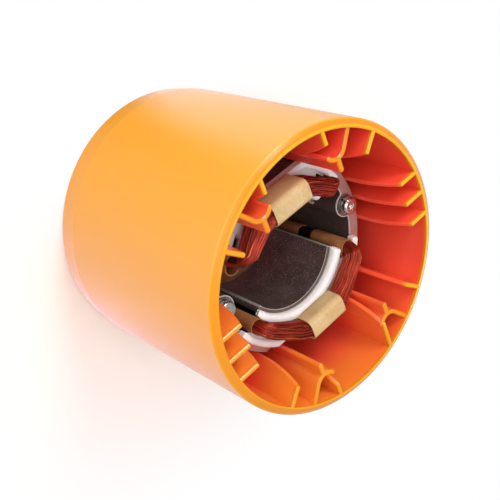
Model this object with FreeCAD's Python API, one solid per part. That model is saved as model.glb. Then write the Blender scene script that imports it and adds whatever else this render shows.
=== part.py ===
"""Wound stator seated in its open-ended, ribbed motor housing.

Units are millimetres. +Z runs along the motor axis, out through the open mouth.
The origin is the centre of the outside face of the closed rear end.
The two magnet poles lie on +X and -X, and the two stack screws on +Y and -Y.
"""
import FreeCAD, Part
import math
import os

from FreeCAD import Vector

# Moulded housing: shell
HOUSING_RADIUS = 64.0
HOUSING_WALL = 4.0
MOUTH_SHOULDER_Z = 115.0
RIM_BEVEL_WIDTH = 1.6
RIM_BEVEL_RISE = 1.15
RIM_LIP_RISE = 1.3
RIM_INNER_BEVEL = 0.7
REAR_TAPER_LENGTH = 13.0
REAR_TAPER_DROP = 1.4
REAR_EDGE_BEVEL = 1.2
REAR_WALL = 3.5
REAR_SIDE_WALL = 3.2

# Moulded housing: ribs, fins and seats
RIB_THICKNESS = 2.1
RIB_EDGE_BEVEL = 0.5
RIB_FRONT_DROP = 0.5
RIB_ROOT = 0.8
RIB_SEAT_CLEARANCE = 0.25
RIB_LEDGE_WIDTH = 2.6
CORNER_FIN_ANGLE = 45.3
CORNER_FIN_REACH = 4.95
SIDE_FIN_PITCH = 10.8
SIDE_FIN_REACH = 3.55
FIN_CURVE_START_Z = 92.0
GUSSET_OFFSET = 17.3
GUSSET_REACH = 15.75
GUSSET_SETBACK = 8.25
LONG_GUSSET_REACH = 8.75
HOOK_RIB_ANGLE = 31.3
HOOK_SETBACK = 12.15
HOOK_CENTRE_Y = 21.6
HOOK_RADIUS = 5.6
HOOK_END_ANGLE = 236.0
HOOK_LEG_THICKNESS = 2.5
HOOK_RIB_DROP = 1.4

# Moulded housing: rear bearing seat, webs, vents and screw bosses
BEARING_SEAT_RADIUS = 16.0
BEARING_SEAT_DEPTH = 10.0
BEARING_BOSS_WALL = 3.5
SHAFT_HOLE_RADIUS = 8.0
REAR_WEB_COUNT = 12
REAR_WEB_THICKNESS = 2.0
REAR_WEB_HEIGHT = 5.0
VENT_WIDTH = 5.0
VENT_INNER_RADIUS = 25.0
VENT_OUTER_RADIUS = 51.0
SCREW_BOSS_RADIUS = 5.2
SCREW_ENGAGEMENT = 14.0

# Lamination stack
STACK_REAR_Z = 45.5
STACK_LENGTH = 42.0
BORE_RADIUS = 25.4
STACK_BUILD = 20.0
STACK_FLAT_CUT = 9.9
POLE_HALF_ARC = 61.0
POLE_SHOE_THICKNESS = 2.7
POLE_NECK_HALF_WIDTH = 20.0
YOKE_THICKNESS = 5.6
SCREW_EDGE_DISTANCE = 6.1
SCREW_LUG_RADIUS = 5.4
SCREW_HOLE_CLEARANCE = 0.4
SLOT_CORNER_ROUND = 1.6
POLE_TIP_ROUND = 0.5

# Slot liners
LINER_THICKNESS = 0.4
LINER_CLEARANCE = 0.05
LINER_TAB_RISE = 0.7
LINER_TAB_HALF_WIDTH = 15.0

# Moulded end insulators
INSULATOR_STEP = 0.2
INSULATOR_FLOOR = 1.5
INNER_FLANGE_SETBACK = 1.9
INNER_FLANGE_THICKNESS = 3.2
INNER_FLANGE_HEIGHT = 3.5
INNER_FLANGE_HALF_ARC = 58.0
OUTER_FLANGE_LEDGE_CLEARANCE = 0.7
OUTER_FLANGE_THICKNESS = 3.4
OUTER_FLANGE_HEIGHT = 4.0
OUTER_FLANGE_HALF_ARC = 66.0
FLANGE_TOP_BEVEL = 0.7
FLANGE_END_ROUND = 0.9

# Field coils
COIL_FLANGE_CLEARANCE = 0.1
COIL_SIDE_ANGLE = 59.3
COIL_YOKE_CLEARANCE = 1.55
COIL_SIDE_HALF_WIDTH = 3.9
COIL_SIDE_HALF_FLAT = 0.3
COIL_CROWN_INSET = 1.9
COIL_CORNER_Y = 12.6
COIL_CROWN_HALF_DEPTH = 4.7
COIL_CROWN_ROUND = 2.4
COIL_CROWN_TOPS = {"right": 101.7, "left": 106.0}
COIL_STRAIGHT_END = 10.4
COIL_BEND_RISE = 0.3
COIL_BEND_LEAD = 0.8
COIL_BEND_STEPS = 3
COIL_BEND_SWELL = 0.45

# Paper slot tubes and crown sleeves
PAPER_THICKNESS = 0.4
PAPER_CLEARANCE = 0.1
TUBE_MIDDLE_GAP = 9.0
TUBE_MOUTH_RISE = 4.8
SLEEVE_LENGTH = 20.6
SLEEVE_SEAT_CLEARANCE = 0.1

# Screws and washers
SCREW_RADIUS = 2.1
SCREW_THREAD_CLEARANCE = 0.05
SCREW_HEAD_RADIUS = 4.15
SCREW_HEAD_HEIGHT = 2.6
SCREW_HEAD_ROUND = 1.3
SCREW_RECESS_RADIUS = 1.3
SCREW_LOBE_RADIUS = 0.42
SCREW_RECESS_DEPTH = 1.4
WASHER_RADIUS = 5.0
WASHER_THICKNESS = 1.0
LOCK_WASHER_RADIUS = 4.3
LOCK_WASHER_THICKNESS = 1.2
LOCK_WASHER_GAP = 1.0
LOCK_WASHER_SPLIT_ANGLE = 200.0

# Sizes that follow from the ones above
CAVITY_RADIUS = HOUSING_RADIUS - HOUSING_WALL
MOUTH_Z = MOUTH_SHOULDER_Z + RIM_BEVEL_RISE + RIM_LIP_RISE
REAR_RADIUS = HOUSING_RADIUS - REAR_TAPER_DROP
REAR_CAVITY_RADIUS = REAR_RADIUS - REAR_SIDE_WALL
RIB_FRONT_Z = MOUTH_Z - RIB_FRONT_DROP
STACK_RADIUS = BORE_RADIUS + STACK_BUILD
STACK_FLAT_HALF_WIDTH = STACK_RADIUS - STACK_FLAT_CUT
SCREW_CIRCLE_RADIUS = STACK_RADIUS - SCREW_EDGE_DISTANCE
STACK_FRONT_Z = STACK_REAR_Z + STACK_LENGTH
STACK_MIDDLE_Z = STACK_REAR_Z + STACK_LENGTH / 2
SEAT_RADIUS = STACK_RADIUS + RIB_SEAT_CLEARANCE
SEAT_FLAT = STACK_FLAT_HALF_WIDTH + RIB_SEAT_CLEARANCE
CORNER_FIN_FRONT = SEAT_RADIUS + CORNER_FIN_REACH
SIDE_FIN_FRONT = SEAT_RADIUS + SIDE_FIN_REACH
GUSSET_FRONT = SEAT_FLAT + GUSSET_REACH
GUSSET_SEAT = SEAT_FLAT + GUSSET_SETBACK
LONG_GUSSET_FRONT = SEAT_FLAT + LONG_GUSSET_REACH
HOOK_CENTRE_X = SEAT_FLAT + HOOK_SETBACK
SHOE_BACK_RADIUS = BORE_RADIUS + POLE_SHOE_THICKNESS
RIB_LEDGE_RADIUS = STACK_RADIUS - RIB_LEDGE_WIDTH
INNER_FLANGE_RADIUS = BORE_RADIUS + INNER_FLANGE_SETBACK
OUTER_FLANGE_RADIUS = RIB_LEDGE_RADIUS - OUTER_FLANGE_LEDGE_CLEARANCE
YOKE_INNER_RADIUS = STACK_RADIUS - YOKE_THICKNESS
TUBE_MOUTH_Z = STACK_FRONT_Z + TUBE_MOUTH_RISE
PAPER_OUTSIDE = PAPER_CLEARANCE + PAPER_THICKNESS
TUBE_INNER_RADIUS = INNER_FLANGE_RADIUS + INNER_FLANGE_THICKNESS + COIL_FLANGE_CLEARANCE
TUBE_OUTER_RADIUS = YOKE_INNER_RADIUS - LINER_CLEARANCE - LINER_THICKNESS - COIL_YOKE_CLEARANCE
COIL_SIDE_HALF_DEPTH = (TUBE_OUTER_RADIUS - TUBE_INNER_RADIUS) / 2 - PAPER_OUTSIDE
COIL_SIDE_ROUND = COIL_SIDE_HALF_DEPTH - COIL_SIDE_HALF_FLAT
COIL_CIRCLE_RADIUS = (TUBE_INNER_RADIUS + TUBE_OUTER_RADIUS) / 2
COIL_CROWN_X = COIL_CIRCLE_RADIUS - COIL_CROWN_INSET
COIL_CROWN_BOTTOM = STACK_FRONT_Z + OUTER_FLANGE_HEIGHT + SLEEVE_SEAT_CLEARANCE + PAPER_OUTSIDE
HEAD_SEAT_Z = STACK_FRONT_Z + WASHER_THICKNESS + LOCK_WASHER_THICKNESS
SCREW_TIP_Z = STACK_REAR_Z - SCREW_ENGAGEMENT

# How far cutting tools run past what they cut, and how near two sizes are to count as one
OVERRUN = 1.0
NEAR = 0.01

Z_AXIS = Vector(0, 0, 1)
ORIGIN = Vector(0, 0, 0)


def polar(radius, degrees, z=0.0):
    """Point at a radius and an angle from +X."""
    angle = math.radians(degrees)
    return Vector(radius * math.cos(angle), radius * math.sin(angle), z)


def disc(radius, centre=ORIGIN):
    """Flat round face in the XY plane."""
    return Part.Face(Part.Wire(Part.Circle(centre, Z_AXIS, radius).toShape()))


def rectangle(x0, x1, y0, y1):
    """Flat rectangular face in the XY plane."""
    return Part.makePlane(x1 - x0, y1 - y0, Vector(x0, y0, 0))


def wedge(radius, start, end):
    """Flat pie slice in the XY plane."""
    middle = polar(radius, (start + end) / 2)
    arc = Part.Arc(polar(radius, start), middle, polar(radius, end)).toShape()
    first, last = polar(radius, start), polar(radius, end)
    sides = [Part.makeLine(ORIGIN, first), arc, Part.makeLine(last, ORIGIN)]
    return Part.Face(Part.Wire(sides))


def arc_band(inner, outer, start, end):
    """Flat part of a ring between two angles."""
    return wedge(outer, start, end).cut(disc(inner))


def raised(face, z0, z1):
    """Flat face of the XY plane made into a solid from one height to another."""
    low = face.copy()
    low.translate(Vector(0, 0, z0))
    return low.extrude(Vector(0, 0, z1 - z0))


def cylinder(radius, z0, z1):
    """Upright cylinder on the +Y screw's axis."""
    return raised(disc(radius, Vector(0, SCREW_CIRCLE_RADIUS, 0)), z0, z1)


def mirrored(shape, x=False, y=False, z=None):
    """Mirror image across the YZ plane, the XZ plane or a level plane."""
    if x:
        shape = shape.mirror(ORIGIN, Vector(1, 0, 0))
    if y:
        shape = shape.mirror(ORIGIN, Vector(0, 1, 0))
    if z is not None:
        shape = shape.mirror(Vector(0, 0, z), Z_AXIS)
    return shape


def one_solid(shape):
    """The single solid of a shape, with its split faces joined up."""
    clean = shape.removeSplitter()
    if len(clean.Solids) != 1:
        raise ValueError("expected one solid, found %d" % len(clean.Solids))
    return clean.Solids[0]


def bevelled(solid, size, chosen):
    """Solid with a bevel on each edge that the test picks out."""
    return solid.makeChamfer(size, [edge for edge in solid.Edges if chosen(edge)])


def soften(solid, radius, chosen):
    """Solid with a round on each edge that the test picks out."""
    edges = [edge for edge in solid.Edges if chosen(edge)]
    return solid.makeFillet(radius, edges) if edges else solid


def shell():
    """Turned outline of the cup: rear wall, tapered rear, plain barrel and two-band rim."""
    lip_radius = HOUSING_RADIUS - RIM_BEVEL_WIDTH
    lip_slope = RIM_LIP_RISE / (lip_radius - CAVITY_RADIUS)
    taper_slope = REAR_TAPER_DROP / REAR_TAPER_LENGTH
    outline = [
        Vector(SHAFT_HOLE_RADIUS, 0, 0),
        Vector(REAR_RADIUS - REAR_EDGE_BEVEL, 0, 0),
        Vector(REAR_RADIUS + REAR_EDGE_BEVEL * taper_slope, 0, REAR_EDGE_BEVEL),
        Vector(HOUSING_RADIUS, 0, REAR_TAPER_LENGTH),
        Vector(HOUSING_RADIUS, 0, MOUTH_SHOULDER_Z),
        Vector(lip_radius, 0, MOUTH_SHOULDER_Z + RIM_BEVEL_RISE),
        Vector(CAVITY_RADIUS + RIM_INNER_BEVEL, 0, MOUTH_Z - RIM_INNER_BEVEL * lip_slope),
        Vector(CAVITY_RADIUS, 0, MOUTH_Z - RIM_INNER_BEVEL),
        Vector(CAVITY_RADIUS, 0, REAR_TAPER_LENGTH),
        Vector(REAR_CAVITY_RADIUS, 0, REAR_WALL),
        Vector(SHAFT_HOLE_RADIUS, 0, REAR_WALL),
    ]
    return Part.Face(Part.makePolygon(outline + outline[:1])).revolve(ORIGIN, Z_AXIS, 360)


def fin_profile(front, seat, ledge):
    """Side view of a fin: level front edge, curved run back to the seat, and a ledge below."""
    top = RIB_FRONT_Z
    curve_height = top - FIN_CURVE_START_Z
    sweep_radius = ((front - seat) ** 2 + curve_height ** 2) / (2 * (front - seat))
    middle_z = FIN_CURVE_START_Z + curve_height / 2
    middle = seat + sweep_radius - math.sqrt(sweep_radius ** 2 - (curve_height / 2) ** 2)
    corner = Vector(front, 0, top)
    seat_top = Vector(seat, 0, FIN_CURVE_START_Z)
    run_back = Part.Arc(corner, Vector(middle, 0, middle_z), seat_top).toShape()
    rest = [
        seat_top,
        Vector(seat, 0, STACK_REAR_Z),
        Vector(ledge, 0, STACK_REAR_Z),
        Vector(ledge, 0, REAR_WALL - RIB_ROOT),
        Vector(HOUSING_RADIUS, 0, REAR_WALL - RIB_ROOT),
        Vector(HOUSING_RADIUS, 0, top),
        corner,
    ]
    lines = [Part.makeLine(a, b) for a, b in zip(rest, rest[1:]) if a.distanceToPoint(b) > 1e-6]
    return Part.Face(Part.Wire([run_back] + lines))


def fin(front, seat, ledge):
    """Fin along +X, centred on the XZ plane, with its front and inner edges bevelled."""
    face = fin_profile(front, seat, ledge)
    face.translate(Vector(0, -RIB_THICKNESS / 2, 0))
    body = face.extrude(Vector(0, RIB_THICKNESS, 0))

    def is_long_edge(edge):
        box = edge.BoundBox
        on_side = box.YLength < NEAR
        on_front = box.ZMin > RIB_FRONT_Z - NEAR
        on_inner_run = box.ZMin > STACK_REAR_Z - NEAR and box.XMax < front + NEAR and box.ZLength > 1.0
        return on_side and (on_front or on_inner_run)

    return bevelled(body, RIB_EDGE_BEVEL, is_long_edge)


def turned(shape, degrees):
    """Shape turned about the motor axis."""
    copy = shape.copy()
    copy.rotate(ORIGIN, Z_AXIS, degrees)
    return copy


def chord_reach(radius, offset):
    """Distance along a fin's own direction to a circle, for a fin set off the axis."""
    return math.sqrt(radius ** 2 - offset ** 2)


def corner_fins():
    """Four radial fins, one in each quarter, that bear on the round of the stack."""
    one = fin(CORNER_FIN_FRONT, SEAT_RADIUS, RIB_LEDGE_RADIUS)
    quarter = turned(one, CORNER_FIN_ANGLE)
    return [mirrored(quarter, x=x, y=y) for x in (False, True) for y in (False, True)]


def side_fins():
    """Three parallel fins beside each stack screw."""
    fins = []
    for step in (-1, 0, 1):
        offset = step * SIDE_FIN_PITCH
        seat = chord_reach(SEAT_RADIUS, offset)
        ledge = chord_reach(RIB_LEDGE_RADIUS, offset)
        one = turned(fin(SIDE_FIN_FRONT, seat, ledge), 90)
        one.translate(Vector(offset, 0, 0))
        fins += [one, mirrored(one, y=True)]
    return fins


def gussets():
    """Four fins parallel to X beside the flats of the stack; the long one bears on its flat."""
    fins = []
    for x_side in (False, True):
        for y_side in (False, True):
            is_long = not x_side and not y_side
            front = LONG_GUSSET_FRONT if is_long else GUSSET_FRONT
            seat = SEAT_FLAT if is_long else GUSSET_SEAT
            one = fin(front, seat, seat)
            one.translate(Vector(0, GUSSET_OFFSET, 0))
            fins.append(mirrored(one, x=x_side, y=y_side))
    return fins


def hook_rib():
    """Hooked rib: a stem tangent to a hook, and a leg parallel to X from the hook's crown."""
    low, high = REAR_WALL - RIB_ROOT, MOUTH_Z - HOOK_RIB_DROP
    centre = Vector(HOOK_CENTRE_X, HOOK_CENTRE_Y, 0)
    foot = polar(CAVITY_RADIUS, HOOK_RIB_ANGLE)
    to_centre = centre.sub(foot)
    bearing = math.atan2(to_centre.y, to_centre.x) - math.asin(HOOK_RADIUS / to_centre.Length)
    half = RIB_THICKNESS / 2
    stem_length = math.sqrt(to_centre.Length ** 2 - HOOK_RADIUS ** 2)
    stem = rectangle(-HOUSING_WALL, stem_length, -half, half)
    stem.rotate(ORIGIN, Z_AXIS, math.degrees(bearing))
    stem.translate(foot)
    hook_start = math.degrees(bearing) + 270
    hook = arc_band(HOOK_RADIUS - half, HOOK_RADIUS + half, hook_start, HOOK_END_ANGLE)
    hook.translate(centre)
    hook_end = disc(half, centre.add(polar(HOOK_RADIUS, HOOK_END_ANGLE)))
    leg_half = HOOK_LEG_THICKNESS / 2
    leg_start = SEAT_FLAT + leg_half
    leg_y = HOOK_CENTRE_Y
    leg = rectangle(leg_start, HOOK_CENTRE_X - HOOK_RADIUS, leg_y - leg_half, leg_y + leg_half)
    leg_end = disc(leg_half, Vector(leg_start, leg_y, 0))
    plans = [stem, hook, hook_end, leg, leg_end]
    pieces = [raised(plan, low, high) for plan in plans]
    body = one_solid(pieces[0].fuse(pieces[1:]))
    return bevelled(body, RIB_EDGE_BEVEL, lambda e: e.BoundBox.ZMin > high - NEAR)


def hook_ribs():
    """Four hooked ribs, one in each quarter."""
    one = hook_rib()
    return [mirrored(one, x=x, y=y) for x in (False, True) for y in (False, True)]


def rear_webs():
    """Low webs on the rear wall from the bearing boss to the barrel."""
    half = REAR_WEB_THICKNESS / 2
    strip = rectangle(BEARING_SEAT_RADIUS + BEARING_BOSS_WALL / 2, HOUSING_RADIUS, -half, half)
    one = raised(strip, REAR_WALL - RIB_ROOT, REAR_WALL + REAR_WEB_HEIGHT)
    return [turned(one, 360 / REAR_WEB_COUNT * step) for step in range(REAR_WEB_COUNT)]


def rear_vents():
    """Cooling slots through the rear wall, one between each two webs."""
    half = VENT_WIDTH / 2
    ends = [VENT_INNER_RADIUS + half, VENT_OUTER_RADIUS - half]
    plans = [rectangle(*ends, -half, half)] + [disc(half, Vector(end, 0, 0)) for end in ends]
    pieces = [raised(plan, -OVERRUN, REAR_WALL + OVERRUN) for plan in plans]
    one = one_solid(pieces[0].fuse(pieces[1:]))
    pitch = 360 / REAR_WEB_COUNT
    return [turned(one, pitch * (step + 0.5)) for step in range(REAR_WEB_COUNT)]


def screw_bosses():
    """Posts that stand on the rear wall under the stack screws."""
    boss = cylinder(SCREW_BOSS_RADIUS, REAR_WALL - RIB_ROOT, STACK_REAR_Z)
    return [boss, mirrored(boss, y=True)]


def screw_pilots():
    """Holes for the screws' ends."""
    hole = cylinder(SCREW_RADIUS + SCREW_THREAD_CLEARANCE, SCREW_TIP_Z - OVERRUN, STACK_REAR_Z + OVERRUN)
    return [hole, mirrored(hole, y=True)]


def motor_housing():
    """The one-piece moulding that holds the stator."""
    rear_cut = Part.makeCone(
        REAR_CAVITY_RADIUS + RIB_ROOT, CAVITY_RADIUS + RIB_ROOT, REAR_TAPER_LENGTH - REAR_WALL,
        Vector(0, 0, REAR_WALL))
    barrel = raised(disc(CAVITY_RADIUS + RIB_ROOT), REAR_TAPER_LENGTH, MOUTH_Z)
    floor = raised(disc(REAR_CAVITY_RADIUS), REAR_WALL - RIB_ROOT, REAR_WALL)
    inside = barrel.fuse([rear_cut, floor])
    ribs = corner_fins() + side_fins() + gussets() + hook_ribs() + rear_webs()
    trimmed = [rib.common(inside) for rib in ribs]
    seat_top = REAR_WALL + BEARING_SEAT_DEPTH
    seat = raised(disc(BEARING_SEAT_RADIUS + BEARING_BOSS_WALL), REAR_WALL - RIB_ROOT, seat_top)
    body = shell().fuse(trimmed + screw_bosses() + [seat])
    pocket = raised(disc(BEARING_SEAT_RADIUS), REAR_WALL, seat_top + OVERRUN)
    shaft = raised(disc(SHAFT_HOLE_RADIUS), -OVERRUN, REAR_WALL + OVERRUN)
    return one_solid(body.cut([pocket, shaft] + rear_vents() + screw_pilots()))


def winding_space(clearance, z0, z1):
    """Room for the winding on both sides: the slots and the gaps between the pole tips."""
    edge = STACK_RADIUS
    slot_plan = disc(YOKE_INNER_RADIUS + clearance).cut(disc(SHOE_BACK_RADIUS - clearance))
    slot_plan = slot_plan.common(rectangle(-edge, edge, POLE_NECK_HALF_WIDTH - clearance, edge))
    gap_plan = wedge(SHOE_BACK_RADIUS + OVERRUN, POLE_HALF_ARC, 180 - POLE_HALF_ARC)
    lug_plan = disc(SCREW_LUG_RADIUS - clearance, Vector(0, SCREW_CIRCLE_RADIUS, 0))
    slot = raised(slot_plan, z0, z1).fuse(raised(gap_plan, z0, z1)).removeSplitter()
    space = slot.cut(raised(lug_plan, z0, z1))
    return [space, mirrored(space, y=True)]


def upright_radius(edge):
    """Distance of an upright edge from the motor axis, or 0 for any other edge."""
    box = edge.BoundBox
    upright = box.XLength < NEAR and box.YLength < NEAR
    return math.hypot(box.XMin, box.YMin) if upright else 0.0


def is_slot_corner(edge):
    """Whether an upright edge is a corner of a slot, and not the end of a pole shoe."""
    low, high = SHOE_BACK_RADIUS - POLE_TIP_ROUND, YOKE_INNER_RADIUS + POLE_TIP_ROUND
    return low < upright_radius(edge) < high and not is_pole_tip(edge)


def is_pole_tip(edge):
    """Whether an upright edge is at the end of a pole shoe."""
    tip_reach = BORE_RADIUS * math.sin(math.radians(POLE_HALF_ARC)) - POLE_TIP_ROUND
    on_shoe = 0 < upright_radius(edge) < SHOE_BACK_RADIUS + POLE_TIP_ROUND
    return on_shoe and abs(edge.BoundBox.YMin) > tip_reach


def lamination_stack():
    """Pressed steel stack: round yoke with two flats, two pole shoes and two screw holes."""
    half = STACK_FLAT_HALF_WIDTH
    low, high = STACK_REAR_Z, STACK_FRONT_Z
    outline = disc(STACK_RADIUS).common(rectangle(-half, half, -STACK_RADIUS, STACK_RADIUS))
    bore = raised(disc(BORE_RADIUS), low - OVERRUN, high + OVERRUN)
    body = one_solid(raised(outline, low, high).cut([bore] + winding_space(0, low - OVERRUN, high + OVERRUN)))
    body = soften(soften(body, POLE_TIP_ROUND, is_pole_tip), SLOT_CORNER_ROUND, is_slot_corner)
    hole_radius = SCREW_RADIUS + SCREW_HOLE_CLEARANCE
    holes = [disc(hole_radius, Vector(0, side * SCREW_CIRCLE_RADIUS, 0)) for side in (-1, 1)]
    return one_solid(body.cut([raised(hole, low - OVERRUN, high + OVERRUN) for hole in holes]))


def slot_liner():
    """Thin sheet round the +Y slot, with a low tab that stands out at each end of the stack."""
    low, high = STACK_REAR_Z, STACK_FRONT_Z
    tab_low, tab_high = low - LINER_TAB_RISE, high + LINER_TAB_RISE
    outside = winding_space(-LINER_CLEARANCE, tab_low, tab_high)[0]
    inside = winding_space(-LINER_CLEARANCE - LINER_THICKNESS, tab_low - OVERRUN, tab_high + OVERRUN)[0]
    outside = soften(outside, SLOT_CORNER_ROUND, is_slot_corner)
    inside = soften(inside, SLOT_CORNER_ROUND - LINER_THICKNESS, is_slot_corner)
    sheet = outside.cut(inside)
    half = LINER_TAB_HALF_WIDTH
    tab_start = SCREW_CIRCLE_RADIUS - SCREW_LUG_RADIUS - 2 * LINER_THICKNESS
    body = raised(rectangle(-STACK_RADIUS, STACK_RADIUS, 0, STACK_RADIUS), low, high)
    tabs = raised(rectangle(-half, half, tab_start, STACK_RADIUS), tab_low, tab_high)
    return one_solid(sheet.common(body.fuse(tabs)))


def end_insulator():
    """White moulding on the front end of the +X pole: a floor, a bore flange and a yoke flange."""
    foot = STACK_FRONT_Z
    floor_top = foot + INSULATOR_FLOOR
    half = STACK_FLAT_HALF_WIDTH - INSULATOR_STEP
    outer, inner = OUTER_FLANGE_RADIUS, OUTER_FLANGE_RADIUS - OUTER_FLANGE_THICKNESS
    window = rectangle(0, half, -outer, outer)
    floor_plan = arc_band(INNER_FLANGE_RADIUS, outer, -OUTER_FLANGE_HALF_ARC, OUTER_FLANGE_HALF_ARC)
    floor = raised(floor_plan.common(window), foot, floor_top)
    floor = floor.cut(winding_space(INSULATOR_STEP, foot - OVERRUN, floor_top + OVERRUN))

    bore_outer = INNER_FLANGE_RADIUS + INNER_FLANGE_THICKNESS
    bore_arc = INNER_FLANGE_HALF_ARC
    bore_top = foot + INNER_FLANGE_HEIGHT
    bore_plan = arc_band(INNER_FLANGE_RADIUS, bore_outer, -bore_arc, bore_arc)
    bore_flange = raised(bore_plan, foot, bore_top)
    bore_flange = soften(bore_flange.Solids[0], FLANGE_END_ROUND, lambda e: upright_radius(e) > 0)
    bore_flange = bevelled(bore_flange, FLANGE_TOP_BEVEL, lambda e: e.BoundBox.ZMin > bore_top - NEAR)

    yoke_top = foot + OUTER_FLANGE_HEIGHT
    arc_plan = arc_band(inner, outer, -OUTER_FLANGE_HALF_ARC, OUTER_FLANGE_HALF_ARC)
    flat_inner = half - OUTER_FLANGE_THICKNESS
    flat_reach = chord_reach(inner, flat_inner) + OVERRUN
    flat_plan = rectangle(flat_inner, half, -flat_reach, flat_reach)
    yoke_flange = raised(arc_plan.common(window), foot, yoke_top).fuse(raised(flat_plan, foot, yoke_top))
    yoke_flange = one_solid(yoke_flange)
    tip_x = outer * math.cos(math.radians(OUTER_FLANGE_HALF_ARC)) + FLANGE_END_ROUND / 2
    yoke_flange = soften(
        yoke_flange, FLANGE_END_ROUND, lambda e: upright_radius(e) > 0 and e.BoundBox.XMax < tip_x)
    yoke_flange = bevelled(yoke_flange, FLANGE_TOP_BEVEL, lambda e: e.BoundBox.ZMin > yoke_top - NEAR)
    return one_solid(floor.fuse([bore_flange, yoke_flange]))


def rounded_section(centre, out, up, half_out, half_up, corner):
    """Rounded rectangular wire about a centre, in the plane of two unit vectors."""
    flat_out, flat_up = half_out - corner, half_up - corner
    slant = corner * math.sqrt(0.5)

    def at(a, b):
        return centre + out * a + up * b

    edges = []
    for side_out, side_up, is_rising in ((1, 1, True), (-1, 1, False), (-1, -1, True), (1, -1, False)):
        on_out = at(side_out * half_out, side_up * flat_up)
        on_up = at(side_out * flat_out, side_up * half_up)
        middle = at(side_out * (flat_out + slant), side_up * (flat_up + slant))
        first, last = (on_out, on_up) if is_rising else (on_up, on_out)
        edges.append(Part.Arc(first, middle, last).toShape())
        if is_rising:
            edges.append(Part.makeLine(on_up, at(-side_out * flat_out, side_up * half_up)))
        else:
            edges.append(Part.makeLine(on_out, at(side_out * half_out, -side_up * flat_up)))
    return Part.Wire(edges)


def side_section(z, step=0.0):
    """Section of the +X, +Y coil side in its slot, grown by a step."""
    out = polar(1, COIL_SIDE_ANGLE)
    across = polar(1, COIL_SIDE_ANGLE + 90)
    centre = polar(COIL_CIRCLE_RADIUS, COIL_SIDE_ANGLE, z)
    half_out, half_up = COIL_SIDE_HALF_DEPTH + step, COIL_SIDE_HALF_WIDTH + step
    return rounded_section(centre, out, across, half_out, half_up, COIL_SIDE_ROUND + step)


def crown_section(top, y, step=0.0):
    """Section of the +X crown at a distance from the XZ plane, grown by a step."""
    half_up = (top - COIL_CROWN_BOTTOM) / 2
    centre = Vector(COIL_CROWN_X, y, COIL_CROWN_BOTTOM + half_up)
    out = Vector(1, 0, 0)
    return rounded_section(
        centre, out, Z_AXIS, COIL_CROWN_HALF_DEPTH + step, half_up + step, COIL_CROWN_ROUND + step)


def bend_sections(top):
    """Sections of the coil from the slot's mouth, over the bend, along the slant and into the crown."""
    crown_half_up = (top - COIL_CROWN_BOTTOM) / 2
    crown_z = COIL_CROWN_BOTTOM + crown_half_up
    bend_start = TUBE_MOUTH_Z + COIL_BEND_RISE
    bend_radius = crown_z - bend_start
    foot = polar(COIL_CIRCLE_RADIUS, COIL_SIDE_ANGLE)
    corner = Vector(COIL_CROWN_X, COIL_CORNER_Y, 0)
    slant = corner.sub(foot)
    slant_out = math.degrees(math.atan2(slant.y, slant.x)) + 90
    travel = polar(1, slant_out - 90)

    def section(place, out_angle, tilt, share):
        half_out = blend(COIL_SIDE_HALF_DEPTH, COIL_CROWN_HALF_DEPTH, share)
        half_up = blend(COIL_SIDE_HALF_WIDTH, crown_half_up, share ** 1.5)
        round_size = blend(COIL_SIDE_ROUND, COIL_CROWN_ROUND, share)
        up = Z_AXIS * math.sin(tilt) - polar(1, out_angle - 90) * math.cos(tilt)
        return rounded_section(place, polar(1, out_angle), up, half_out, half_up, round_size)

    sections = [side_section(bend_start - COIL_BEND_LEAD), side_section(bend_start)]
    for step in range(1, COIL_BEND_STEPS + 1):
        done = step / COIL_BEND_STEPS
        tilt = math.pi / 2 * done
        rise = Vector(0, 0, bend_start + bend_radius * math.sin(tilt))
        place = foot + travel * (bend_radius * (1 - math.cos(tilt))) + rise
        sections.append(section(place, blend(COIL_SIDE_ANGLE, slant_out, done), tilt, COIL_BEND_SWELL * done))
    sections.append(section(corner + Vector(0, 0, crown_z), slant_out / 2, math.pi / 2, 1))
    sections.append(crown_section(top, COIL_STRAIGHT_END))
    return sections


def blend(start, end, share):
    """Value between two others."""
    return start + (end - start) * share


def prism(wire, reach):
    """Solid between a flat wire and its copy at a reach."""
    return Part.Face(wire).extrude(reach)


def ring_prism(outside, inside, reach):
    """Hollow solid between two flat wires, carried over a reach."""
    return prism(outside, reach).cut(prism(inside, reach))


def field_coil(top):
    """Wound bundle round the +X pole: four like quarters."""
    sections = bend_sections(top)
    side_top = TUBE_MOUTH_Z + COIL_BEND_RISE - COIL_BEND_LEAD
    side = prism(side_section(STACK_MIDDLE_Z), Vector(0, 0, side_top - STACK_MIDDLE_Z))
    crown = prism(crown_section(top, COIL_STRAIGHT_END), Vector(0, -COIL_STRAIGHT_END, 0))
    turn = Part.makeLoft(sections, True, True)
    quarter = side.fuse([turn, crown])
    front = quarter.fuse(mirrored(quarter, y=True))
    return one_solid(front.fuse(mirrored(front, z=STACK_MIDDLE_Z)))


def slot_tube():
    """Paper tube round the front half of the +X, +Y coil side."""
    low = STACK_MIDDLE_Z + TUBE_MIDDLE_GAP / 2
    outside, inside = side_section(low, PAPER_OUTSIDE), side_section(low, PAPER_CLEARANCE)
    return one_solid(ring_prism(outside, inside, Vector(0, 0, TUBE_MOUTH_Z - low)))


def crown_sleeve(top):
    """Paper sleeve round the straight part of the +X front crown."""
    start = -SLEEVE_LENGTH / 2
    outside = crown_section(top, start, PAPER_OUTSIDE)
    inside = crown_section(top, start, PAPER_CLEARANCE)
    return one_solid(ring_prism(outside, inside, Vector(0, SLEEVE_LENGTH, 0)))


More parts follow.
